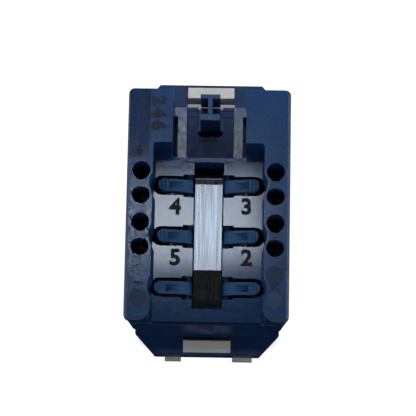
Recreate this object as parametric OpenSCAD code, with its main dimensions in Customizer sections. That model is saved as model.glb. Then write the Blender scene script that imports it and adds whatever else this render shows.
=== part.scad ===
// Push-in wiring block: snap-in insert for a flush telephone outlet.
// The wiring side looks up (+Z) and the outlet's white front face is the
// plane Z = 0. +Y points to the end that holds the sliding latch.
// X = 0, Y = 0 is the middle of the mounting flange.

/* [Overall] */
// Height from the white front face to the top of the wiring rails
total_h = 26; // [25:0.5:30]
// Width of the rear cover over both rails
cover_w = 24.8; // [24.4:0.1:27]
// Length of the rear cover
cover_l = 36.1; // [36:0.1:38]
// How far the rear cover's middle lies below the flange's middle
cover_shift = 1.3; // [1.2:0.05:1.4]

/* [Wiring rows] */
// Distance from one terminal row to the next
row_pitch = 8; // [7.8:0.1:8.2]
// How far the middle row lies below the flange's middle
row_shift = 6.15; // [6.05:0.05:6.25]
// Distance between the two wire entries of one terminal
entry_gap = 3.83; // [3.6:0.01:4]
// Distance of the wire entries from the cover's side
entry_edge = 2.2; // [2:0.05:2.3]
// Diameter of a wire entry
entry_d = 2.75; // [2.4:0.05:2.8]
// Width of the slot between the two entries of a terminal
link_w = 1.3; // [1:0.1:1.6]
// Depth of that slot
link_depth = 0.6; // [0.3:0.05:1]

/* [Rear cover] */
// Thickness of the cover's overhanging rim
rim_t = 1.2; // [0.8:0.1:2]
// Overhang of the rim past the body, at the ends
rim_end = 0.6; // [0.3:0.05:0.8]
// Overhang of the rim past the body, at the sides
rim_side = 0.2; // [0.1:0.05:0.4]
// Chamfer along the rim's upper edge
rim_chamfer = 0.45; // [0.2:0.05:0.6]
// Radius of the rim's corners
rim_r = 0.9; // [0.5:0.1:1.5]
// Radius of the rails' inner corner at their lower end
rail_end_r = 2; // [1:0.1:2.4]
// Depth of the lever floor below the rails
floor_depth = 6; // [5:0.1:7]
// Thickness of the lever floor
floor_t = 1.2; // [1:0.1:1.4]
// Width of a wiring rail at its top
rail_w = 3.9; // [3.8:0.05:4.1]
// How far each rail wall leans in towards the floor
rail_draft = 0.26; // [0.1:0.02:0.4]
// Y of the step between the lever floor and the upper blocks
block_y = 8.2; // [8.1:0.05:8.6]
// Depth of the strip gauge panel
gauge_depth = 0.35; // [0.1:0.05:0.6]
// Length of the strip gauge, the bare wire that a terminal needs
gauge_l = 11; // [9:0.5:12]
// Width of the strip gauge panel
gauge_w = 3.05; // [2:0.05:3.2]

/* [Levers] */
// Width of a release lever
lever_w = 1.95; // [1.5:0.05:2.1]
// Width of a lever slot in the floor
slot_w = 3.05; // [2.9:0.05:3.2]
// How far the slots' round ends reach past the rails' edge
slot_reach = 0.2; // [0.1:0.05:0.3]
// How far a lever lies above the middle of its terminal
lever_shift = 1.05; // [0.9:0.05:1.15]
// Distance of the lever axles from the centre line
axle_x = 3; // [2.95:0.05:3.05]
// Depth of the axles below the lever floor
axle_depth = 1.9; // [1.8:0.05:2]
// Diameter of a lever axle
axle_d = 1; // [0.8:0.05:1.1]
// Length of a lever axle
axle_l = 4.2; // [4.1:0.1:4.5]
// Angle that an unused lever lies lower than a sprung one
spare_drop = 8; // [4:1:12]

/* [Centre strap] */
// Width of the centre strap
strap_w = 4.2; // [3.6:0.1:4.3]
// Thickness of the centre strap
strap_t = 0.35; // [0.2:0.05:0.5]
// Width of the channel that shows the strap
channel_w = 4.6; // [4.5:0.1:4.9]
// Length of the channel
channel_l = 23.1; // [22.5:0.1:23.3]

/* [Housing] */
// Wall of the moulded housing
wall = 0.85; // [0.7:0.05:1]
// Depth of the mounting flange below the rails
flange_depth = 15.85; // [15:0.1:17]
// Thickness of the flange
flange_t = 1.6; // [1.2:0.1:2]
// Length of the flange
flange_l = 43.7; // [43:0.1:46]
// Width of the flange
flange_w = 22.4; // [21.8:0.1:23]
// Width of the flange's straight ends
flange_end_w = 16.2; // [14:0.1:18]
// Length of the flange's slanted corners, along Y
flange_slant = 3.45; // [2:0.05:5]
// Width of the two windows in the flange
window_w = 7.55; // [7:0.05:8]
// Bar of flange left outside each window
window_bar = 0.6; // [0.5:0.05:1]
// Length of the window at the lug end
window_lug_l = 2.3; // [2:0.05:2.4]
// Length of the window at the latch end
window_latch_l = 3.4; // [3:0.05:3.6]
// How far each side of the housing steps in below its shoulder
waist_in = 1.4; // [1.2:0.1:1.5]

/* [Latch] */
// Width of the pocket round the latch
pocket_w = 11.24; // [11:0.02:11.6]
// Depth of the latch platform below the rails
platform_depth = 11.3; // [11:0.1:11.8]
// Gap on each side of the latch platform
platform_gap = 0.52; // [0.4:0.02:0.6]
// Width of the latch post
latch_w = 3.07; // [2.6:0.01:3.2]
// Length of the latch post, along Y
latch_l = 4.5; // [4.3:0.05:4.7]
// Travel of the latch
latch_travel = 1; // [0.8:0.05:1.1]
// Reach of the latch past the platform's end wall
latch_nose = 1; // [0.6:0.05:1.2]

/* [Front] */
// Thickness of the white frame's plate behind the outlet face
frame_t = 1.6; // [1.2:0.1:2]
// Width of the outlet face
face_w = 21.6; // [20:0.1:22]
// Length of the outlet face
face_l = 36; // [34:0.5:38]
// Corner radius of the outlet face
face_r = 1.2; // [0.5:0.1:2]
// Width of the plug opening
plug_w = 9.8; // [9.6:0.05:10]
// Height of the plug opening
plug_h = 6.7; // [6.6:0.05:6.9]
// Distance between neighbouring jack contacts
contact_pitch = 1.02; // [1:0.01:1.05]
// Diameter of a jack contact wire
contact_d = 0.45; // [0.35:0.05:0.5]

/* [Terminals] */
// Thickness of the copper terminal plates
plate_t = 0.4; // [0.3:0.05:0.5]
// Thickness of the clamp springs
clamp_t = 0.25; // [0.2:0.05:0.3]
// Width of a terminal plate along Y
plate_w = 6.8; // [6.6:0.1:6.9]

/* [Hidden] */
$fn = 48;
eps = 0.01;

navy = [0.13, 0.24, 0.40];
lever_blue = [0.08, 0.20, 0.35];
white = [0.84, 0.84, 0.82];
steel = [0.74, 0.78, 0.84];
copper = [0.72, 0.42, 0.25];
gold = [0.80, 0.65, 0.30];
jack_grey = [0.20, 0.21, 0.23];

// Clearances
fit = 0.1;          // between pieces that only locate each other
run = 0.05;         // between an axle and its cradle

// Levels, measured up from the outlet face
rail_z = total_h;
floor_z = rail_z - floor_depth;
split_z = floor_z - floor_t;             // rear cover meets housing
platform_z = rail_z - platform_depth;
flange_z = rail_z - flange_depth;        // rear surface of the flange
frame_z = flange_z - flange_t;           // white frame meets the flange
axle_z = floor_z - axle_depth;

// Widths that follow the rear cover
rail_x = cover_w / 2 - rail_w;           // rails' inner edge
entry_x = cover_w / 2 - entry_edge;
slot_end_x = rail_x + slot_reach;
platform_w = pocket_w - 2 * platform_gap;

// Plan of the rear cover and the housing
cover_top = cover_l / 2 - cover_shift;
cover_low = -cover_l / 2 - cover_shift;
body_w = cover_w - 2 * rim_side;
waist_w = body_w - 2 * waist_in;
body_top = cover_top - 0.25;
body_low = cover_low + rim_end;
corner_cut = 0.9;

// Rows, counted from the latch end; the third row is not used
row_y = [for (i = [0:2]) (1 - i) * row_pitch - row_shift];
lever_y = [for (y = row_y) y + lever_shift];

// Lever channel
channel_top = block_y - 1.5;
channel_low = channel_top - channel_l;

// Pocket and platform round the latch
pocket_y = block_y - 0.85;
platform_y = pocket_y + 0.4;
platform_end = body_top + 0.4;
latch_y = platform_end + latch_nose - latch_l;   // inner face at rest
latch_slot_w = latch_w + 0.8;
latch_slot_y = latch_y - latch_travel - 0.25;
wing_w = latch_slot_w + 1.3;
groove_w = wing_w + 0.4;
groove_top = platform_z - 1.1;
groove_low = flange_z + 1.35;
groove_end = platform_end - 0.8;
spring_seat_y = platform_y + 1.3;
spring_z = (groove_top + groove_low) / 2;
spring_r = 0.68;
spring_wire = 0.26;

// Terminal chamber and the deck that closes it
deck_t = 1;
deck_z = floor_z - 6.1;                  // upper face of the deck
chamber_x = body_w / 2 - wall;
waist_x = waist_w / 2 - wall;
shoulder_z = split_z - 0.9;              // housing starts to narrow
waist_z = deck_z + 0.3;                  // housing has narrowed
chamber_low = body_low + wall + 0.15;
chamber_top = pocket_y - wall;

// Jack
jack_w = 12.4;
jack_low = -6.6;
jack_top = 5.6;
jack_face_z = 1.4;                       // behind the outlet face
jack_back_z = deck_z - deck_t;
tray_depth = 0.75;
jack_cavity_z = jack_back_z - tray_depth - 0.75;
plug_low = -plug_h / 2;
plug_top = plug_h / 2;
contact_slot_y = plug_top + 0.55;
contact_slot_h = 0.8;
key_w = [6.2, 3.4];
key_h = [1.3, 1.2];

// Centre strap
strap_z = floor_z - 1.25;                // upper face
strap_flat_low = channel_low + 6.3;
strap_top_y = channel_top - 1.3;

// ---------------------------------------------------------------- outlines

// Rectangle with round corners, from (x0, y0) to (x1, y1)
module round_rect(x0, y0, x1, y1, r) {
    translate([x0 + r, y0]) square([x1 - x0 - 2 * r, y1 - y0]);
    translate([x0, y0 + r]) square([x1 - x0, y1 - y0 - 2 * r]);
    for (x = [x0 + r, x1 - r], y = [y0 + r, y1 - r])
        translate([x, y]) circle(r);
}

// Rectangle with slanted corners
module cut_rect(w, y0, y1, cx, cy_low, cy_top) {
    polygon([[-w / 2 + cx, y0], [w / 2 - cx, y0], [w / 2, y0 + cy_low],
             [w / 2, y1 - cy_top], [w / 2 - cx, y1], [-w / 2 + cx, y1],
             [-w / 2, y1 - cy_top], [-w / 2, y0 + cy_low]]);
}

// Strip of metal that follows a line of points, with round bends
module strip(points, t) {
    for (i = [0:len(points) - 2]) {
        d = points[i + 1] - points[i];
        translate(points[i]) rotate(atan2(d[1], d[0]))
            translate([0, -t / 2]) square([norm(d), t]);
    }
    for (i = [1:len(points) - 2]) translate(points[i]) circle(t / 2);
}

// Extrude an outline drawn in X and Z along Y, from y0 to y1
module along_y(y0, y1) {
    translate([0, y1, 0]) rotate([90, 0, 0]) linear_extrude(y1 - y0) children();
}

// Extrude an outline drawn in Y and Z along X, from x0 to x1
module along_x(x0, x1) {
    translate([x0, 0, 0]) rotate([90, 0, 90]) linear_extrude(x1 - x0) children();
}

// Box given by its corners
module block(a, b) {
    translate(a) cube(b - a);
}

// ---------------------------------------------------------------- rear cover

// Tool that takes the chamfer off the rim's upper edge
module rim_chamfer_tool() {
    c = rim_chamfer;
    r = rim_r;
    x = cover_w / 2;
    edge = [[eps, -c], [eps, eps], [-c, eps]];
    for (side = [0, 180]) rotate([0, 0, side]) {
        y0 = side == 0 ? cover_low : -cover_top;
        y1 = side == 0 ? cover_top : -cover_low;
        translate([x, y1 - r, rail_z]) rotate([90, 0, 0])
            linear_extrude(y1 - y0 - 2 * r) polygon(edge);
        translate([-x + r, y1, rail_z]) rotate([90, 0, 90])
            linear_extrude(2 * x - 2 * r) polygon(edge);
        for (e = [[y1 - r, 0], [y0 + r, -90]])
            translate([x - r, e[0], rail_z]) rotate([0, 0, e[1]])
                rotate_extrude(angle = 90) translate([r, 0]) polygon([[eps, -c], [eps, eps], [-c, eps]]);
    }
}

// Trough between the rails, with leaning walls and a scallop at each terminal
module rail_trough() {
    foot = rail_x - rail_draft;
    y0 = cover_low - 1;
    along_y(y0, block_y)
        polygon([[-foot, floor_z], [foot, floor_z], [rail_x, rail_z],
                 [rail_x, rail_z + 1], [-rail_x, rail_z + 1], [-rail_x, rail_z]]);
    // Rails end in a round inner corner
    for (side = [-1, 1]) difference() {
        block([side > 0 ? rail_x - 1 : -rail_x - rail_end_r, y0, floor_z],
              [side > 0 ? rail_x + rail_end_r : -rail_x + 1, cover_low + rail_end_r, rail_z + 1]);
        translate([side * (rail_x + rail_end_r), cover_low + rail_end_r, floor_z - 1])
            cylinder(r = rail_end_r, h = floor_depth + 3);
    }
    scallop_x = rail_x - 2.6;
    for (side = [-1, 1], y = row_y)
        translate([side * scallop_x, y, floor_z])
            cylinder(r1 = foot + 0.4 - scallop_x, r2 = rail_x + 0.47 - scallop_x,
                     h = floor_depth + eps);
}

// Round blend left in an inner corner, dir gives the solid's side in X and Y
module corner_blend(x, y, dir, r, z0, z1) {
    translate([x, y, z0]) linear_extrude(z1 - z0)
        difference() {
            polygon([[dir[0] * 0.4, dir[1] * 0.4], [dir[0] * 0.4, -dir[1] * r],
                     [0, -dir[1] * r], [-dir[0] * r, 0], [-dir[0] * r, dir[1] * 0.4]]);
            translate([-dir[0] * r, -dir[1] * r]) circle(r);
        }
}

module lever_slot(side, y) {
    end_x = slot_end_x - slot_w / 2;
    in_x = channel_w / 2 - 0.1;
    wide_x = axle_x + 0.9;
    z0 = split_z - eps;
    h = floor_t + 2 * eps;
    translate([side * end_x, y, z0]) cylinder(d = slot_w, h = h);
    block([min(side * in_x, side * end_x), y - slot_w / 2, z0],
          [max(side * in_x, side * end_x), y + slot_w / 2, z0 + h]);
    block([min(side * in_x, side * wide_x), y - slot_w / 2 - 0.28, z0],
          [max(side * in_x, side * wide_x), y + slot_w / 2 + 0.28, z0 + h]);
}

module rear_cover() color(navy) difference() {
    union() {
        difference() {
            union() {
                translate([0, 0, rail_z - rim_t]) linear_extrude(rim_t)
                    round_rect(-cover_w / 2, cover_low, cover_w / 2, cover_top, rim_r);
                translate([0, 0, split_z]) linear_extrude(rail_z - rim_t - split_z)
                    cut_rect(body_w, body_low, body_top, corner_cut, corner_cut, corner_cut);
            }
            rail_trough();
            rim_chamfer_tool();
        }
        for (side = [-1, 1])
            corner_blend(side * rail_x, block_y, [side, 1], 0.6, floor_z, rail_z);
    }
    // Floor falls a little towards the channel
    for (side = [-1, 1]) along_y(channel_low, channel_top)
        polygon([[side * 4.2, floor_z], [side * (channel_w / 2 - 0.2), floor_z - 0.3],
                 [side * (channel_w / 2 - 0.2), floor_z + eps], [side * 4.2, floor_z + eps]]);
    // Channel of the centre strap
    block([-channel_w / 2, channel_low, split_z - eps],
          [channel_w / 2, channel_top, floor_z + eps]);
    for (side = [-1, 1], y = lever_y) lever_slot(side, y);
    // Ledge where the floor stops short of the lower end
    block([-(rail_x - rail_draft), cover_low - 1, split_z - eps],
          [rail_x - rail_draft, body_low + 0.45, floor_z + eps]);
    // Pocket that leaves the latch free
    translate([0, 0, split_z - eps]) linear_extrude(rail_z - split_z + 1)
        round_rect(-pocket_w / 2, pocket_y, pocket_w / 2, cover_top + 3, 0.55);
    // Wire entries of the four terminals, and the slot between each pair
    for (side = [-1, 1], i = [0, 1]) {
        for (k = [-1, 1])
            translate([side * entry_x, row_y[i] + k * entry_gap / 2, split_z - 1])
                cylinder(d = entry_d, h = rail_z - split_z + 2);
        block([side * entry_x - link_w / 2, row_y[i] - entry_gap / 2 + 0.45, rail_z - link_depth],
              [side * entry_x + link_w / 2, row_y[i] + entry_gap / 2 - 0.45, rail_z + 1]);
    }
    // Closed entries of the unused row
    for (side = [-1, 1]) {
        for (k = [-1, 1])
            translate([side * entry_x, row_y[2] + k * entry_gap / 2, rail_z - 0.12])
                cylinder(d = entry_d, h = 1);
        block([side * entry_x - link_w / 2, row_y[2] - (entry_gap - entry_d) / 2 - 0.1, rail_z - 0.3],
              [side * entry_x + link_w / 2, row_y[2] + (entry_gap - entry_d) / 2 + 0.1, rail_z + 1]);
    }
    // Strip gauge panel
    block([-cover_w / 2 + 0.3, cover_top - gauge_l, rail_z - gauge_depth],
          [-cover_w / 2 + 0.3 + gauge_w, cover_top + 1, rail_z + 1]);
    // Coring under the two upper blocks
    for (side = [-1, 1])
        block([side > 0 ? pocket_w / 2 + wall : -body_w / 2 + wall, block_y + wall, split_z - eps],
              [side > 0 ? body_w / 2 - wall : -pocket_w / 2 - wall, body_top - wall, rail_z - rim_t]);
}

// ---------------------------------------------------------------- housing

module housing_shell() {
    intersection() {
        along_y(body_low, body_top)
            polygon([for (s = [1, -1]) each (s > 0
                ? [[waist_w / 2, flange_z - eps], [waist_w / 2, waist_z],
                   [body_w / 2, shoulder_z], [body_w / 2, split_z]]
                : [[-body_w / 2, split_z], [-body_w / 2, shoulder_z],
                   [-waist_w / 2, waist_z], [-waist_w / 2, flange_z - eps]])]);
        translate([0, 0, frame_z]) linear_extrude(split_z - frame_z)
            cut_rect(body_w, body_low, body_top, corner_cut, corner_cut, corner_cut);
    }
    // Mounting flange
    translate([0, 0, frame_z]) linear_extrude(flange_t)
        cut_rect(flange_w, -flange_l / 2, flange_l / 2,
                 (flange_w - flange_end_w) / 2, flange_slant, flange_slant);
    // Platform round the latch
    block([-pocket_w / 2, platform_y, flange_z - eps],
          [pocket_w / 2, platform_end, platform_z]);
    // Fixed lug at the lower end
    block([-1.05, body_low - 0.55, split_z - 3.8], [1.05, body_low + eps, split_z]);
}

// Open spaces inside the terminal chamber, one pair for each row
module chamber_cells() {
    rib = 0.8;
    for (i = [0:2]) {
        y0 = i == 2 ? chamber_low : row_y[i] - row_pitch / 2 + rib / 2;
        y1 = i == 0 ? chamber_top : row_y[i] + row_pitch / 2 - rib / 2;
        along_y(y0, y1)
            polygon([[-waist_x, deck_z], [waist_x, deck_z], [waist_x, waist_z - 0.1],
                     [chamber_x, shoulder_z - 0.1], [chamber_x, split_z + 1],
                     [-chamber_x, split_z + 1], [-chamber_x, shoulder_z - 0.1],
                     [-waist_x, waist_z - 0.1]]);
    }
    // The centre strap passes through the ribs
    block([-channel_w / 2, channel_low + eps, deck_z], [channel_w / 2, chamber_top, split_z + 1]);
}

// Two posts with a cradle that carry one lever axle
module lever_posts(side, y) {
    post_w = 1.3;
    post_t = 0.7;
    for (k = [-1, 1])
        difference() {
            translate([side * axle_x - post_w / 2, y + k * (axle_l / 2 - post_t / 2 - 0.1) - post_t / 2, deck_z - eps])
                cube([post_w, post_t, axle_z - deck_z + eps]);
            translate([side * axle_x, y + 5, axle_z]) rotate([90, 0, 0])
                cylinder(d = axle_d + 2 * run, h = 10);
        }
}

module housing() color(navy) {
    difference() {
        housing_shell();
        chamber_cells();
        // Jack chamber, open to the front
        block([-jack_w / 2 - fit, jack_low - fit, frame_z - 1],
              [jack_w / 2 + fit, jack_top + fit, jack_back_z]);
        for (side = [-1, 1])
            block([side > 0 ? jack_w / 2 + fit + wall : -waist_x, jack_low - fit, frame_z - 1],
                  [side > 0 ? waist_x : -jack_w / 2 - fit - wall, jack_top + fit, jack_back_z]);
        block([-waist_x, body_low + wall + 0.15, frame_z - 1],
              [waist_x, jack_low - fit - wall, jack_back_z]);
        // Tails of the terminal plates pass the deck
        for (side = [-1, 1], y = tail_y)
            block([side * tail_x - plate_t / 2 - 0.15, y - 0.65, jack_back_z - eps],
                  [side * tail_x + plate_t / 2 + 0.15, y + 0.65, deck_z + eps]);
        // Pocket above the latch platform
        translate([0, 0, platform_z]) linear_extrude(split_z - platform_z + 1)
            round_rect(-pocket_w / 2, pocket_y, pocket_w / 2, cover_top + 3, 0.55);
        // Gaps beside the platform and behind it
        for (side = [-1, 1])
            block([side > 0 ? platform_w / 2 : -pocket_w / 2, pocket_y + 0.4, platform_z - 2.4],
                  [side > 0 ? pocket_w / 2 : -platform_w / 2, platform_end - 1.5, platform_z + 1]);
        // Lowered middle of the platform, with a step at its outer end
        block([-platform_w / 2 + 1.45, pocket_y - eps, platform_z - 0.25],
              [platform_w / 2 - 1.45, platform_end - 1.5, platform_z + 1]);
        block([-platform_w / 2 + 1.45, platform_end - 1.5 - eps, platform_z - 0.12],
              [platform_w / 2 - 1.45, platform_end - 0.5, platform_z + 1]);
        // Shallow mark in the lowered middle
        block([-1.5, latch_slot_y - 1.4, platform_z - 0.35],
              [1.5, latch_slot_y - 0.45, platform_z]);
        latch_way();
        // Windows of the flange
        for (win = [[-flange_l / 2 + window_bar, window_lug_l],
                    [flange_l / 2 - window_bar - window_latch_l, window_latch_l]])
            block([-window_w / 2, win[0], frame_z - 1],
                  [window_w / 2, win[0] + win[1], flange_z + eps]);
    }
    for (side = [-1, 1], y = lever_y) lever_posts(side, y);
}

// Slot, guide groove and spring seat of the latch
module latch_way() {
    c = 0.5;
    w = latch_slot_w / 2;
    translate([0, 0, groove_low]) linear_extrude(platform_z - groove_low + 1)
        polygon([[-w + c, latch_slot_y], [w - c, latch_slot_y], [w, latch_slot_y + c],
                 [w, platform_end + 1], [-w, platform_end + 1], [-w, latch_slot_y + c]]);
    block([-groove_w / 2, latch_slot_y, groove_low], [groove_w / 2, groove_end, groove_top]);
    translate([0, latch_slot_y + eps, spring_z]) rotate([90, 0, 0])
        cylinder(r = spring_r + spring_wire / 2 + 0.12, h = latch_slot_y - spring_seat_y);
}

// ---------------------------------------------------------------- latch

module latch() color(lever_blue) {
    foot_z = groove_low + 0.15;
    top_z = floor_z;
    catch_z = platform_z + 0.1;
    bar = 1;
    stem = 0.72;
    y0 = latch_y;
    y1 = latch_y + latch_l;
    difference() {
        union() {
            // I-shaped post
            for (y = [y0, y1 - bar])
                block([-latch_w / 2, y, catch_z], [latch_w / 2, y + bar, top_z]);
            block([-stem / 2, y0, catch_z], [stem / 2, y1, top_z]);
            // Part that stays inside the slot of the platform
            block([-latch_w / 2, y0, foot_z], [latch_w / 2, platform_end - 0.1, catch_z + eps]);
            // Wings that run in the groove
            block([-wing_w / 2, y0, foot_z], [wing_w / 2, groove_end - 0.1, groove_top - 0.15]);
        }
        // Lead-in slope of the nose
        along_x(-latch_w, latch_w)
            polygon([[y1 - 0.35, top_z + eps], [y1 + eps, top_z - 1.3], [y1 + eps, top_z + eps]]);
        // Seat of the return spring
        translate([0, y0 + latch_travel + 0.2, spring_z]) rotate([90, 0, 0])
            cylinder(r = spring_r + spring_wire / 2 + 0.12, h = 3);
    }
}

// Coil swept as a polyhedron along a helix round the Y axis
module latch_spring() color(steel) {
    turns = 5;
    steps = 14;
    sides = 6;
    y0 = spring_seat_y + spring_wire / 2 + 0.02;
    y1 = latch_y - 0.05 - spring_wire / 2;
    n = turns * steps;
    pitch = (y1 - y0) / turns;
    slope = atan2(pitch, 2 * PI * spring_r);
    pts = [for (i = [0:n]) let (a = 360 * i / steps, y = y0 + (y1 - y0) * i / n)
        for (j = [0:sides - 1]) let (b = 360 * j / sides,
            cr = spring_r + spring_wire / 2 * cos(b),
            ct = spring_wire / 2 * sin(b))
        [cr * cos(a) + ct * sin(slope) * sin(a), y + ct * cos(slope),
         spring_z + cr * sin(a) - ct * sin(slope) * cos(a)]];
    faces = concat(
        [[for (j = [0:sides - 1]) j]],
        [for (i = [0:n - 1]) for (j = [0:sides - 1])
            let (k = (j + 1) % sides)
            [i * sides + j, (i + 1) * sides + j, (i + 1) * sides + k, i * sides + k]],
        [[for (j = [sides - 1:-1:0]) n * sides + j]]);
    polyhedron(pts, faces);
}

// ---------------------------------------------------------------- front

module front_outline(inset) {
    cut_rect(flange_w - 2 * inset, -flange_l / 2 + inset, flange_l / 2 - inset,
             (flange_w - flange_end_w) / 2, flange_slant, flange_slant);
}

// Outline of the plug opening with its stepped keyway
module plug_outline() {
    translate([-plug_w / 2, plug_low]) square([plug_w, plug_h]);
    translate([-key_w[0] / 2, plug_low - key_h[0]]) square([key_w[0], key_h[0] + eps]);
    translate([-key_w[1] / 2, plug_low - key_h[0] - key_h[1]])
        square([key_w[1], key_h[1] + eps]);
}

// Hook that passes a flange window and grips its outer bar
module frame_hook(end) {
    inner = 2;
    y_out = flange_l / 2 - window_bar - fit;
    w = window_w - 2 * fit;
    top = flange_z + 0.55;
    scale([1, end, 1]) {
        block([-w / 2, y_out - inner + 0.45, frame_z - eps], [w / 2, y_out, top]);
        along_x(-w / 2, w / 2)
            polygon([[y_out - eps, flange_z + 0.05], [y_out + 0.25, flange_z + 0.05],
                     [y_out + 0.25, flange_z + 0.2], [y_out - eps, top]]);
    }
}

module front_frame() color(white) {
    plate_low = frame_z - frame_t;
    lug_out = flange_end_w / 2 - 2.05;
    difference() {
        union() {
            translate([0, 0, plate_low]) linear_extrude(frame_t) front_outline(0.25);
            translate([0, 0, face_r]) linear_extrude(plate_low - face_r + eps)
                round_rect(-face_w / 2, -face_l / 2, face_w / 2, face_l / 2, face_r);
            translate([0, 0, 0]) linear_extrude(face_r + eps)
                round_rect(-face_w / 2 + 0.4, -face_l / 2 + 0.4, face_w / 2 - 0.4, face_l / 2 - 0.4, face_r);
            // Small lugs past the flange's ends
            for (end = [-1, 1], lug = [[-lug_out - 0.5, 2.5], [lug_out - 2.1, 3.1]])
                block([lug[0], end > 0 ? flange_l / 2 - 1 : -flange_l / 2 - 0.45, plate_low],
                      [lug[0] + lug[1], end > 0 ? flange_l / 2 + 0.45 : -flange_l / 2 + 1, frame_z]);
        }
        // Hollow behind the outlet face, round the jack
        block([-face_w / 2 + 1.2, -face_l / 2 + 1.2, jack_face_z],
              [face_w / 2 - 1.2, face_l / 2 - 1.2, frame_z + 1]);
        translate([0, 0, -1]) linear_extrude(jack_face_z + 2) plug_outline();
        // Notch under the latch end's window
        translate([0, 0, jack_face_z]) linear_extrude(frame_z)
            round_rect(-window_w / 2 - 0.3, face_l / 2 - 2.4, window_w / 2 + 0.3,
                       flange_l / 2 - window_bar - fit - 1.55, 0.5);
    }
    for (end = [-1, 1]) frame_hook(end);
}

module jack_body() color(jack_grey) difference() {
    block([-jack_w / 2, jack_low, jack_face_z], [jack_w / 2, jack_top, jack_back_z]);
    // Plug cavity
    translate([0, 0, jack_face_z - 1]) linear_extrude(jack_cavity_z - jack_face_z + 1)
        plug_outline();
    // Tray for the contact wires on the back
    block([-4.95, -4.9, jack_back_z - tray_depth],
          [4.95, contact_slot_y + contact_slot_h, jack_back_z + 1]);
    // Slot that the contact wires come down in
    block([-2.1, contact_slot_y, jack_face_z + 1], [2.1, contact_slot_y + contact_slot_h, jack_back_z + 1]);
    // Gap where they turn into the cavity
    block([-2.1, plug_top - eps, jack_face_z + 1], [2.1, contact_slot_y + eps, jack_face_z + 2.6]);
}

// Unit vector
function unit(v) = v / norm(v);

// Ring of wire points carried to point i, cut on the slant where the wire turns
function wire_ring(p, i, r, n) =
    i == 0 ? [for (k = [0:n - 1]) let (a = 360 * k / n) p[0] + [0, r * cos(a), r * sin(a)]] :
    let (prev = wire_ring(p, i - 1, r, n),
         d = unit(p[i] - p[i - 1]),
         m = i == len(p) - 1 ? d : d + unit(p[i + 1] - p[i]))
    [for (q = prev) q + d * (((p[i] - q) * m) / (d * m))];

// Wire through a list of points; its first stretch runs along X
module wire(p, d, flip) {
    n = 12;
    last = len(p) - 1;
    rings = [for (i = [0:last]) each wire_ring(p, i, d / 2, n)];
    faces = concat(
        [[for (k = [0:n - 1]) k]],
        [for (i = [0:last - 1]) for (k = [0:n - 1]) let (m = (k + 1) % n)
            [i * n + k, (i + 1) * n + k, (i + 1) * n + m, i * n + m]],
        [[for (k = [n - 1:-1:0]) last * n + k]]);
    polyhedron(rings, flip ? [for (f = faces) [for (k = [len(f) - 1:-1:0]) f[k]]] : faces);
}

// Contact wire: slot is its place in the jack, from -1.5 to 1.5
module jack_contact(slot, y_end) color(gold) {
    x = slot * contact_pitch;
    side = slot < 0 ? -1 : 1;
    yb = contact_slot_y + contact_slot_h / 2;
    zt = jack_back_z - tray_depth / 2;
    zf = jack_face_z + 1.5;
    wire([[side * (tail_x - plate_t / 2 - contact_d / 2 - 0.05), y_end, zt],
          [x, y_end, zt],
          [x, yb, zt],
          [x, yb, zf + 0.4],
          [x, (yb + plug_top) / 2, zf],
          [x, plug_top - 0.3, zf + 0.5],
          [x, 1.5, jack_cavity_z - 1.4]], contact_d, side > 0);
}

// ---------------------------------------------------------------- levers

// Release lever with its axle on the Y axis, reaching out along +X
module lever_shape() {
    reach = slot_end_x - 0.95 - axle_x;      // tip, from the axle
    top0 = 1.72;                             // height over the axle at the root
    top1 = 2.9;                              // height over the axle at the tip
    slope = (top1 - top0) / (reach - 0.5);
    function top_w(u) = top0 + (u - 0.5) * slope;
    difference() {
        intersection() {
            along_y(-lever_w / 2, lever_w / 2) union() {
                circle(0.65);
                polygon([[-0.62, 0.1], [-0.5, 0.9], [0, 1.45], [0.5, top0], [reach, top1],
                         [reach, top1 - 1.35], [reach - 0.8, top1 - 1.5],
                         [reach - 0.95, 0.25], [reach - 1.6, 0.25], [reach - 1.85, 0.95],
                         [0.8, 0.15], [0, -0.6]]);
            }
            // Round tip, seen from above
            union() {
                translate([reach - lever_w / 2, 0, -2]) cylinder(d = lever_w, h = 6);
                block([-2, -lever_w / 2, -2], [reach - lever_w / 2, lever_w / 2, 4]);
            }
        }
        // Grooves between the three finger ribs
        for (u = [reach - 0.45, reach - 1.02, reach - 1.6])
            along_y(-lever_w, lever_w)
                translate([u, top_w(u)]) rotate(atan(slope)) translate([-0.13, -0.3]) square([0.26, 1]);
        // Wedge-shaped screwdriver pocket
        along_y(-0.55, 0.55)
            polygon([[0.95, top_w(0.95)], [2.95, top_w(2.95) - 0.75],
                     [2.95, top_w(2.95) + 0.5], [0.95, top_w(0.95) + 0.5]]);
    }
    translate([0, axle_l / 2, 0]) rotate([90, 0, 0]) cylinder(d = axle_d, h = axle_l);
}

module release_lever(side, row, drop) color(lever_blue)
    translate([side * axle_x, lever_y[row], axle_z])
        scale([side, 1, 1]) rotate([0, drop, 0]) lever_shape();

// ---------------------------------------------------------------- terminals

tail_x = axle_x + 1.15;
tail_y = [row_y[0] - 1.85, row_y[1] + 2.15];

module terminal_plate(side, row) color(copper) {
    out_x = chamber_x - fit - plate_t / 2;
    low_x = waist_x - fit - plate_t / 2;
    low_z = deck_z + plate_t / 2;
    y = row_y[row];
    scale([side, 1, 1]) {
        along_y(y - plate_w / 2, y + plate_w / 2)
            strip([[out_x, split_z - 0.2], [out_x, shoulder_z - 0.15],
                   [low_x, low_z], [tail_x, low_z], [tail_x, axle_z - 0.3]], plate_t);
        block([tail_x - plate_t / 2, tail_y[row] - 0.45, jack_back_z - tray_depth + 0.1],
              [tail_x + plate_t / 2, tail_y[row] + 0.45, low_z]);
    }
}

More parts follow.
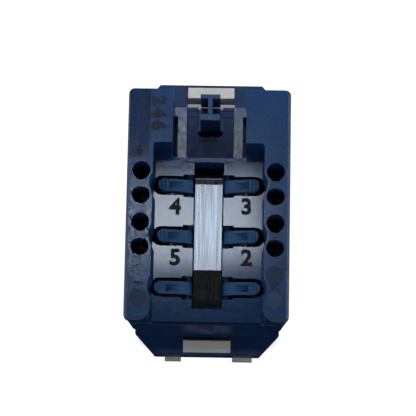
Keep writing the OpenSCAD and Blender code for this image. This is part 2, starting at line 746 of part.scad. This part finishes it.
module clamp_spring(side, row) color(steel) {
    z0 = deck_z + plate_t + clamp_t / 2 + 0.02;
    x0 = tail_x + 1.05;
    top = axle_z - 1.1;
    y = row_y[row];
    w = plate_w - 0.6;
    scale([side, 1, 1]) along_y(y - w / 2, y + w / 2)
        strip([[x0, axle_z - 0.3], [x0, z0 + 0.35], [x0 + 0.35, z0], [x0 + 0.85, z0],
               [x0 + 1.15, z0 + 0.4], [x0 + 0.85, top - 0.5], [x0 + 1.1, top - 0.08],
               [x0 + 1.7, top], [entry_x - 0.5, top - 1.4]], clamp_t);
}

// ---------------------------------------------------------------- strap

module centre_strap() color(steel) {
    low_end = channel_low + 0.25;
    drop = 1.4;
    z = strap_z - strap_t / 2;
    along_x(-strap_w / 2, strap_w / 2)
        strip([[strap_top_y, deck_z + 0.2], [strap_top_y, z - 1.5], [strap_top_y - 0.45, z - 0.6],
               [strap_top_y - 1.1, z - 0.15], [strap_top_y - 2, z],
               [strap_flat_low, z], [low_end + 0.4, z - drop],
               [low_end, z - drop - 0.5], [low_end, deck_z + 0.2]], strap_t);
}

// ---------------------------------------------------------------- assembly

rear_cover();
housing();
front_frame();
jack_body();
jack_contact(0.5, tail_y[1]);  // jack_contact_2
jack_contact(1.5, tail_y[0]);  // jack_contact_3
jack_contact(-1.5, tail_y[0]);  // jack_contact_4
jack_contact(-0.5, tail_y[1]);  // jack_contact_5
centre_strap();
release_lever(1, 1, 0);  // release_lever_2
release_lever(1, 0, 0);  // release_lever_3
release_lever(-1, 0, 0);  // release_lever_4
release_lever(-1, 1, 0);  // release_lever_5
release_lever(-1, 2, spare_drop);  // spare_lever_left
release_lever(1, 2, spare_drop);  // spare_lever_right
terminal_plate(1, 1);  // terminal_plate_2
terminal_plate(1, 0);  // terminal_plate_3
terminal_plate(-1, 0);  // terminal_plate_4
terminal_plate(-1, 1);  // terminal_plate_5
clamp_spring(1, 1);  // clamp_spring_2
clamp_spring(1, 0);  // clamp_spring_3
clamp_spring(-1, 0);  // clamp_spring_4
clamp_spring(-1, 1);  // clamp_spring_5
latch();
latch_spring();
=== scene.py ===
import bpy, bmesh, math
from mathutils import Vector, Matrix


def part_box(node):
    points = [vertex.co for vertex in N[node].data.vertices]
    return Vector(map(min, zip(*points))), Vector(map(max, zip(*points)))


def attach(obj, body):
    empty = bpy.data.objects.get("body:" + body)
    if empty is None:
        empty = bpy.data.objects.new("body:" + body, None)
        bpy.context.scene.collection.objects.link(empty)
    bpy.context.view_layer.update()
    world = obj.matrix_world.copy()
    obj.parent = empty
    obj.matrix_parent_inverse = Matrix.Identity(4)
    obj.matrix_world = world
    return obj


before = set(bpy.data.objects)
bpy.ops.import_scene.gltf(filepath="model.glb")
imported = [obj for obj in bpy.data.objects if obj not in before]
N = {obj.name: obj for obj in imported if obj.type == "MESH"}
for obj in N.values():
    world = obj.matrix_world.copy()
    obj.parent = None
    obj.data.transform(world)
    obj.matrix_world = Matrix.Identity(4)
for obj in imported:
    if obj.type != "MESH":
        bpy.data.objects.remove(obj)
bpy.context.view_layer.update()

# ---------------------------------------------------------------- sizes
# Places and sizes on the part are in millimetres, in the frame's axes: the
# white outlet face is Z = 0 and the wiring side looks up.
MM = 0.001
cover_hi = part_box("rear_cover")[1]
latch_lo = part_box("latch")[0]

TOP = cover_hi.z / MM                 # wiring rails
FLOOR = TOP - 6.0                     # lever floor
FLOOR_FALL = 0.3                      # of that floor, towards the strap's channel
TROUGH_X = 8.6                        # half width of the trough between the rails
PLATFORM = TOP - 11.35                # middle of the strips on the latch platform
STRIP_X = 3.66                        # inner edge of those strips

GAUGE_END = cover_hi.y / MM           # outer end of the strip gauge
GAUGE_LOW = GAUGE_END - 11.0
GAUGE_X = (-12.2, -9.05)              # sides of its panel
GAUGE_Z = TOP - 0.35
NUMBER_X = -7.83                      # middle of its numbers, on the block beside it

ENTRY_X = 10.2                        # wire entries
LOW_ROW_Y = -14.15                    # row whose entries are closed
HALF_GAP = 1.915                      # half the distance between two entries
DISC_R = 1.3                          # closed entries

MARK_LIFT = 0.015                     # of a mark over the face it lies on


# ---------------------------------------------------------------- node helpers
class Mat:
    """A node material and short calls that add nodes to it."""

    def __init__(self, name):
        self.m = bpy.data.materials.new(name)
        self.m.use_nodes = True
        self.t = self.m.node_tree
        self.b = self.t.nodes["Principled BSDF"]
        self.coord = self.t.nodes.new("ShaderNodeTexCoord")
        self.sep = None

    def n(self, kind, **settings):
        node = self.t.nodes.new(kind)
        for key, value in settings.items():
            setattr(node, key, value)
        return node

    def link(self, a, b):
        self.t.links.new(a, b)

    def put(self, socket, value):
        """Give a socket a number, a colour or another node's output."""
        if isinstance(value, (int, float)):
            socket.default_value = value
        elif isinstance(value, tuple):
            socket.default_value = (*value, 1.0)
        else:
            self.link(value, socket)

    def xyz(self):
        if self.sep is None:
            self.sep = self.n("ShaderNodeSeparateXYZ")
            self.link(self.coord.outputs["Object"], self.sep.inputs[0])
        return self.sep.outputs

    def math(self, operation, a, b=None):
        node = self.n("ShaderNodeMath", operation=operation)
        self.put(node.inputs[0], a)
        if b is not None:
            self.put(node.inputs[1], b)
        return node.outputs[0]

    def remap(self, value, lo, hi, a=0.0, b=1.0, kind="LINEAR"):
        """Carry lo to a and hi to b, and hold both past the ends."""
        node = self.n("ShaderNodeMapRange", interpolation_type=kind)
        for key, v in (("Value", value), ("From Min", lo), ("From Max", hi), ("To Min", a), ("To Max", b)):
            self.put(node.inputs[key], v)
        return node.outputs["Result"]

    def step(self, value, lo, hi):
        """0 below lo, 1 above hi."""
        return self.remap(value, lo, hi, kind="SMOOTHSTEP")

    def noise(self, scale, detail=3.0, rough=0.5, stretch=(1, 1, 1)):
        mapping = self.n("ShaderNodeMapping")
        mapping.inputs["Scale"].default_value = stretch
        self.link(self.coord.outputs["Object"], mapping.inputs["Vector"])
        node = self.n("ShaderNodeTexNoise")
        for key, v in (("Scale", scale), ("Detail", detail), ("Roughness", rough)):
            self.put(node.inputs[key], v)
        self.link(mapping.outputs[0], node.inputs["Vector"])
        return node.outputs["Fac"]

    def mix(self, factor, c1, c2):
        node = self.n("ShaderNodeMix", data_type="RGBA")
        for i, v in ((0, factor), (6, c1), (7, c2)):
            self.put(node.inputs[i], v)
        return node.outputs[2]

    def lerp(self, factor, a, b):
        node = self.n("ShaderNodeMix", data_type="FLOAT")
        for i, v in ((0, factor), (2, a), (3, b)):
            self.put(node.inputs[i], v)
        return node.outputs[0]

    def bump(self, height, strength, distance):
        node = self.n("ShaderNodeBump")
        self.put(node.inputs["Strength"], strength)
        self.put(node.inputs["Distance"], distance)
        self.link(height, node.inputs["Height"])
        self.link(node.outputs[0], self.b.inputs["Normal"])


def lin(*rgb):
    """Linear colour from a screen colour of 0 to 255."""
    return tuple(c / 255 / 12.92 if c <= 10 else ((c / 255 + 0.055) / 1.055) ** 2.4 for c in rgb)


# ---------------------------------------------------------------- masks
def inside(m, axis, lo, hi, soft=0.12):
    """1 between lo and hi along an axis, with edges 2 * soft wide."""
    v = m.xyz()[axis]
    past = m.step(v, (hi - soft) * MM, (hi + soft) * MM)
    return m.math("MULTIPLY", m.step(v, (lo - soft) * MM, (lo + soft) * MM), m.math("SUBTRACT", 1.0, past))


def trough(m):
    """Lever floor and the foot of the rails' walls."""
    return m.math("MULTIPLY", inside(m, "Z", FLOOR - 2.0, FLOOR + 0.6), inside(m, "X", -TROUGH_X, TROUGH_X))


def strips(m):
    """The two strips beside the latch platform's lowered middle."""
    side = m.step(m.math("ABSOLUTE", m.xyz()["X"]), (STRIP_X - 0.04) * MM, (STRIP_X + 0.04) * MM)
    return m.math("MULTIPLY", side, inside(m, "Z", PLATFORM - 0.15, PLATFORM + 0.15))


def panel(m):
    """Strip gauge panel, which the cover's material paints darker: painted shade of its recess."""
    edge = 0.03
    x = inside(m, "X", *GAUGE_X, edge)
    y = inside(m, "Y", GAUGE_LOW, GAUGE_END + 0.75, edge)
    return m.math("MULTIPLY", m.math("MULTIPLY", x, y), inside(m, "Z", TOP - 0.6, TOP - 0.1, edge))


def spots(places, radius, soft=0.04):
    """Round spots about places in X and Y."""
    def mask(m):
        total = None
        for x, y in places:
            dx = m.math("SUBTRACT", m.xyz()["X"], x * MM)
            dy = m.math("SUBTRACT", m.xyz()["Y"], y * MM)
            far = m.math("SQRT", m.math("ADD", m.math("MULTIPLY", dx, dx), m.math("MULTIPLY", dy, dy)))
            one = m.math("SUBTRACT", 1.0, m.step(far, (radius - soft) * MM, (radius + soft) * MM))
            total = one if total is None else m.math("MAXIMUM", total, one)
        return total
    return mask


def level_floor(m):
    """Relief that lets the floor's fall towards the channel shine as the flat floor does."""
    return m.remap(m.xyz()["Z"], (FLOOR - FLOOR_FALL) * MM, FLOOR * MM, FLOOR_FALL / MM, 0.0)


def strip_tilt(m):
    """Relief that lets the platform's strips lean a little towards the levers."""
    y0, y1 = 7.0, 18.0
    rise = 28.0                       # micrometres for each millimetre
    return m.math("MULTIPLY", strips(m), m.remap(m.xyz()["Y"], y0 * MM, y1 * MM, 0.0, rise * (y1 - y0)))


# ---------------------------------------------------------------- materials
def plastic(name, c1, c2, rough, grain, glossy=(), polished=None, relief=None, tint=()):
    """Moulded plastic: cloudy colour, fine grain and uneven gloss.

    grain is the depth of the grain in micrometres, polished the roughness of
    small bright patches, and relief a height in micrometres. glossy lists
    (mask, roughness, grain) for faces that come from polished steel, and tint
    lists (mask, colour)."""
    m = Mat(name)
    colour = m.mix(m.remap(m.noise(260, 4), 0.3, 0.7), c1, c2)
    for mask, shade in tint:
        colour = m.mix(mask(m), colour, shade)
    m.link(colour, m.b.inputs["Base Color"])
    r = m.remap(m.noise(900, 3), 0.3, 0.7, rough * 0.8, rough * 1.2)
    if polished:
        r = m.lerp(m.step(m.noise(5200, 3), 0.44, 0.58), r, polished)
    for mask, value, fine in glossy:
        here = mask(m)
        r = m.lerp(here, r, m.remap(m.noise(1300, 4), 0.3, 0.7, value * 0.8, value * 1.25))
        grain = m.lerp(here, grain, fine)
    m.link(r, m.b.inputs["Roughness"])
    m.b.inputs["Specular IOR Level"].default_value = 0.25
    m.b.inputs["IOR"].default_value = 1.5
    height = m.math("MULTIPLY", m.noise(4200, 2), grain)
    if relief:
        height = m.math("ADD", height, relief(m))
    m.bump(height, 1.0, 0.000001)     # heights are in micrometres
    return m.m


def metal(name, c1, c2, rough, scale, stretch):
    """Metal with streaks along the axis that stretch makes small."""
    m = Mat(name)
    streaks = m.remap(m.noise(scale, 4, 0.6, stretch), 0.25, 0.75)
    m.link(m.mix(streaks, c1, c2), m.b.inputs["Base Color"])
    m.link(m.lerp(streaks, rough - 0.05, rough + 0.07), m.b.inputs["Roughness"])
    m.b.inputs["Metallic"].default_value = 1.0
    m.bump(m.noise(scale * 1.7, 3, 0.6, stretch), 0.12, 0.00002)
    return m.m


def recess():
    """Dark, dull plastic of the sunk digits and marks. The marks are real; their dark colour is painted shade of
    their sunk strokes.
    """
    m = Mat("mark_painted_shade")
    m.link(m.mix(m.noise(1500), lin(4, 12, 28), lin(7, 18, 38)), m.b.inputs["Base Color"])
    m.b.inputs["Roughness"].default_value = 0.5
    m.bump(m.noise(4000), 0.3, 0.00003)
    return m.m


light_discs = [(-ENTRY_X, LOW_ROW_Y + HALF_GAP), (ENTRY_X, LOW_ROW_Y - HALF_GAP)]
dark_discs = [(-ENTRY_X, LOW_ROW_Y - HALF_GAP), (ENTRY_X, LOW_ROW_Y + HALF_GAP)]
gate_mark = [(0.0, latch_lo.y / MM + 0.45)]

# The gauge panel's darker tint is painted shade in its recess
cover_mat = plastic("cover_plastic", lin(25, 59, 103), lin(30, 66, 113), 0.38, 0.7,
                    glossy=[(trough, 0.07, 0.45)], polished=0.08, relief=level_floor,
                    tint=[(panel, lin(14, 43, 84)),
                          (spots(light_discs, DISC_R), lin(50, 76, 112)),
                          (spots(dark_discs, DISC_R), lin(20, 44, 82))])
housing_mat = plastic("housing_plastic", lin(21, 50, 92), lin(26, 57, 102), 0.36, 1.2,
                      glossy=[(strips, 0.16, 0.5)], relief=strip_tilt)
# The levers are the body's navy plastic, painted lighter: painted sheen for the glare on their curved faces
lever_painted_sheen_mat = plastic("lever_plastic", lin(60, 98, 144), lin(70, 110, 156), 0.22, 1.0)
latch_mat = plastic("latch_plastic", lin(30, 60, 100), lin(36, 68, 110), 0.22, 1.0,
                    tint=[(spots(gate_mark, 0.32), lin(26, 92, 150))])
white_mat = plastic("white_plastic", lin(216, 215, 210), lin(224, 223, 219), 0.35, 1.5)
jack_mat = plastic("jack_plastic", lin(34, 36, 40), lin(44, 46, 50), 0.4, 2.0)
strap_mat = metal("strap_steel", lin(92, 96, 103), lin(124, 127, 133), 0.2, 3000, (1, 0.03, 1))
spring_mat = metal("spring_steel", lin(150, 152, 156), lin(185, 187, 190), 0.3, 2500, (0.1, 1, 0.1))
copper_mat = metal("copper_plate", lin(190, 104, 62), lin(214, 130, 84), 0.38, 2500, (0.2, 1, 0.2))
gold_mat = metal("gold_wire", lin(208, 164, 84), lin(232, 190, 110), 0.25, 3000, (1, 0.1, 0.1))
mark_shade_mat = recess()

# Each node's finish, by the start of its name
LOOKS = (("rear_cover", cover_mat), ("housing", housing_mat), ("front_frame", white_mat),
         ("jack_body", jack_mat), ("jack_contact", gold_mat), ("centre_strap", strap_mat),
         ("release_lever", lever_painted_sheen_mat), ("spare_lever", lever_painted_sheen_mat), ("terminal_plate", copper_mat),
         ("clamp_spring", spring_mat), ("latch_spring", spring_mat), ("latch", latch_mat))
for name, node in N.items():
    finish = next(mat for start, mat in LOOKS if name.startswith(start))
    node.data.materials.clear()
    node.data.materials.append(finish)


# ---------------------------------------------------------------- marks
def add_mark(name, mesh):
    """Put a mark's mesh on the insert."""
    mesh.materials.clear()
    mesh.materials.append(mark_shade_mat)
    piece = bpy.data.objects.new(name, mesh)
    bpy.context.scene.collection.objects.link(piece)
    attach(piece, "insert")


def text(name, body, x, y, z, size, turn=0.0, fat=0.0):
    """A thin digit about (x, y), turned by some degrees, fat thicker on each side."""
    curve = bpy.data.curves.new(name, "FONT")
    curve.body = body
    curve.size = size * MM
    curve.align_x = "CENTER"
    curve.align_y = "CENTER"
    curve.extrude = 0.01 * MM
    curve.offset = fat * MM
    curve.resolution_u = 6
    ob = bpy.data.objects.new(name, curve)
    bpy.context.scene.collection.objects.link(ob)
    ob.location = Vector((x, y, z)) * MM
    ob.rotation_euler = (0, 0, math.radians(turn))
    bpy.context.view_layer.update()
    graph = bpy.context.evaluated_depsgraph_get()
    mesh = bpy.data.meshes.new_from_object(ob.evaluated_get(graph))
    mesh.transform(ob.matrix_world)
    bpy.data.objects.remove(ob)
    add_mark(name, mesh)


def plates(name, outlines, z):
    """Thin plates, each from its outline in X and Y, counted the left way round."""
    bm = bmesh.new()
    for outline in outlines:
        low, high = ([bm.verts.new(Vector((x, y, z + dz)) * MM) for x, y in outline]
                     for dz in (-0.02, MARK_LIFT))
        bm.faces.new(high)
        bm.faces.new(low[::-1])
        for i in range(len(outline)):
            j = (i + 1) % len(outline)
            bm.faces.new((low[i], low[j], high[j], high[i]))
    mesh = bpy.data.meshes.new(name)
    bm.to_mesh(mesh)
    bm.free()
    add_mark(name, mesh)


def bar(x0, y0, x1, y1):
    return [(x0, y0), (x1, y0), (x1, y1), (x0, y1)]


# Terminal digits, below their levers
for digit, x, y in (("4", -5.1, -0.57), ("3", 5.83, -0.43), ("5", -4.98, -8.53), ("2", 5.95, -8.48)):
    text("digit_" + digit, digit, x, y, FLOOR + MARK_LIFT, 3.45, fat=0.13)

# Strip gauge: a scale in millimetres, its numbers, and an arrow at its inner end
tick_x = GAUGE_X[1] - 0.2
ticks = [bar(tick_x - (1.1 if k % 2 == 0 else 0.6), GAUGE_END - k - 0.08, tick_x, GAUGE_END - k + 0.08)
         for k in range(1, 8)]
plates("gauge_scale", ticks, GAUGE_Z)
arrow_x, neck_y = -10.5, GAUGE_LOW + 1.25
plates("gauge_arrow", [bar(arrow_x - 0.2, neck_y, arrow_x + 0.2, neck_y + 1.3),
                       [(arrow_x, GAUGE_LOW + 0.2), (arrow_x + 0.7, neck_y + 0.05), (arrow_x - 0.7, neck_y + 0.05)]],
       GAUGE_Z)
for k in (2, 4, 6):
    text("gauge_number_%d" % k, str(k), NUMBER_X, GAUGE_END - k, TOP + MARK_LIFT, 2.9, turn=-90, fat=0.15)


# ---------------------------------------------------------------- ground and world
def ground():
    """White floor. The eye sees it white with the part's shadow on it, and with a painted shadow under the flange.
    Gloss and glass see it white a hand's width away, and dark close to the part, a painted shadow."""
    m = Mat("floor")
    m.b.inputs["Base Color"].default_value = (0.30, 0.31, 0.33, 1)
    m.b.inputs["Roughness"].default_value = 0.9
    path = m.n("ShaderNodeLightPath").outputs
    # painted shadow: the floor's glow goes dark under the flange, where the part's shade falls
    under = m.math("MULTIPLY", inside(m, "X", -10.5, 10.5, 1.5), inside(m, "Y", -18.0, 22.5, 1.5))
    eye = m.n("ShaderNodeEmission")
    eye.inputs[0].default_value = (1, 1, 1, 1)
    m.link(m.remap(under, 0.0, 1.0, 0.93, 0.02), eye.inputs[1])
    both = m.n("ShaderNodeAddShader")
    m.link(m.b.outputs[0], both.inputs[0])
    m.link(eye.outputs[0], both.inputs[1])
    # painted shadow: the floor that gloss and glass see is dark within 0.15 m of the part and white past 0.5 m
    far = m.n("ShaderNodeVectorMath", operation="LENGTH")
    m.link(m.coord.outputs["Object"], far.inputs[0])
    shine = m.n("ShaderNodeEmission")
    m.link(m.step(far.outputs["Value"], 0.15, 0.5), shine.inputs[1])
    gloss = m.math("MAXIMUM", path["Is Glossy Ray"], path["Is Transmission Ray"])
    last = m.b.outputs[0]
    for factor, shade in ((gloss, shine), (path["Is Camera Ray"], both)):
        node = m.n("ShaderNodeMixShader")
        m.link(factor, node.inputs[0])
        m.link(last, node.inputs[1])
        m.link(shade.outputs[0], node.inputs[2])
        last = node.outputs[0]
    m.link(last, m.t.nodes["Material Output"].inputs[0])
    half = 1.5
    mesh = bpy.data.meshes.new("floor")
    mesh.from_pydata([(-half, -half, 0), (half, -half, 0), (half, half, 0), (-half, half, 0)], [], [(0, 1, 2, 3)])
    mesh.materials.append(m.m)
    floor = bpy.data.objects.new("floor", mesh)
    bpy.context.scene.collection.objects.link(floor)
    floor.location.z = -0.0002


def studio():
    """Faint light from all round, a white sweep that ends under a dark ceiling
    for gloss and glass, and white for the eye."""
    world = bpy.data.worlds.new("studio")
    bpy.context.scene.world = world
    world.use_nodes = True
    tree = world.node_tree
    new, link = tree.nodes.new, tree.links.new
    path = new("ShaderNodeLightPath").outputs
    split = new("ShaderNodeSeparateXYZ")
    link(new("ShaderNodeTexCoord").outputs["Generated"], split.inputs[0])
    rise = new("ShaderNodeMapRange")
    rise.interpolation_type = "SMOOTHSTEP"
    link(split.outputs["Z"], rise.inputs["Value"])
    for key, v in (("From Min", 0.15), ("From Max", 0.6), ("To Min", 1.0), ("To Max", 0.03)):
        rise.inputs[key].default_value = v
    around, sweep, white = (new("ShaderNodeBackground") for _ in range(3))
    around.inputs[0].default_value = (0.9, 0.95, 1.0, 1)
    around.inputs[1].default_value = 0.05
    sweep.inputs[0].default_value = (1, 1, 1, 1)
    link(rise.outputs[0], sweep.inputs[1])
    white.inputs[0].default_value = (1, 1, 1, 1)
    white.inputs[1].default_value = 1.0
    gloss = new("ShaderNodeMath")
    gloss.operation = "MAXIMUM"
    link(path["Is Glossy Ray"], gloss.inputs[0])
    link(path["Is Transmission Ray"], gloss.inputs[1])
    last = around.outputs[0]
    for factor, shade in ((gloss.outputs[0], sweep), (path["Is Camera Ray"], white)):
        node = new("ShaderNodeMixShader")
        link(factor, node.inputs[0])
        link(last, node.inputs[1])
        link(shade.outputs[0], node.inputs[2])
        last = node.outputs[0]
    link(last, tree.nodes["World Output"].inputs[0])


ground()
studio()


# ---------------------------------------------------------------- lamps
def area(name, pos, target, size_x, size_y, watts, colour):
    lamp = bpy.data.lights.new(name, "AREA")
    lamp.shape = "RECTANGLE"
    lamp.size, lamp.size_y = size_x, size_y
    lamp.energy = watts
    lamp.color = colour
    ob = bpy.data.objects.new(name, lamp)
    bpy.context.scene.collection.objects.link(ob)
    ob.location = pos
    ob.visible_camera = False
    ob.rotation_euler = (target - pos).to_track_quat("-Z", "Y").to_euler()


# Lamps, in metres. The key stands where the lever floor mirrors it to the camera.
spot = Vector((-0.0025, -0.0040, TOP * MM))
area("key", spot + Vector((-0.0224, 0.2298, 0.9733)) * 0.8, spot, 0.07, 0.040, 0.20, (0.80, 0.90, 1.0))
aim = Vector((0, 0, 0.02))
for name, side in (("soft_left", -1), ("soft_right", 1)):
    area(name, aim + Vector((side * 0.70, 0.05, 0.12)), aim, 0.45, 0.20, 1.7, (0.96, 0.98, 1.0))
area("back", aim + Vector((0.0, 0.75, 0.40)), aim, 0.6, 0.25, 0.35, (0.98, 0.99, 1.0))
area("fill", aim + Vector((0.0, -0.60, 0.62)), aim, 0.4, 0.3, 1.1, (0.98, 0.99, 1.0))
# A small lamp close to the latch end, so that the light falls off towards the other
area("end", Vector((0.0, 0.055, 0.055)), Vector((0, 0, 0.026)), 0.12, 0.02, 0.031, (0.98, 0.99, 1.0))


# ---------------------------------------------------------------- camera
FOCAL = 5.782284                      # focal length, in widths of the picture
CAMERA_AXES = (Vector((0.99980, 0.01807, -0.00877)),      # right
               Vector((-0.01553, 0.97233, 0.23310)),      # up
               Vector((0.01274, -0.23292, 0.97241)))      # back
CAMERA_PLACE = Vector((4.63, -86.64, 353.2 + TOP))

cam = bpy.data.cameras.new("camera")
cam.sensor_width = 36.0
cam.lens = cam.sensor_width * FOCAL
cam.clip_start = 0.01
camera = bpy.data.objects.new("camera", cam)
bpy.context.scene.collection.objects.link(camera)
columns = (*CAMERA_AXES, CAMERA_PLACE * MM)
camera.matrix_world = Matrix([[c[i] for c in columns] for i in range(3)] + [[0, 0, 0, 1]])
bpy.context.scene.camera = camera
bpy.context.scene.view_settings.view_transform = "Standard"

bpy.context.view_layer.update()
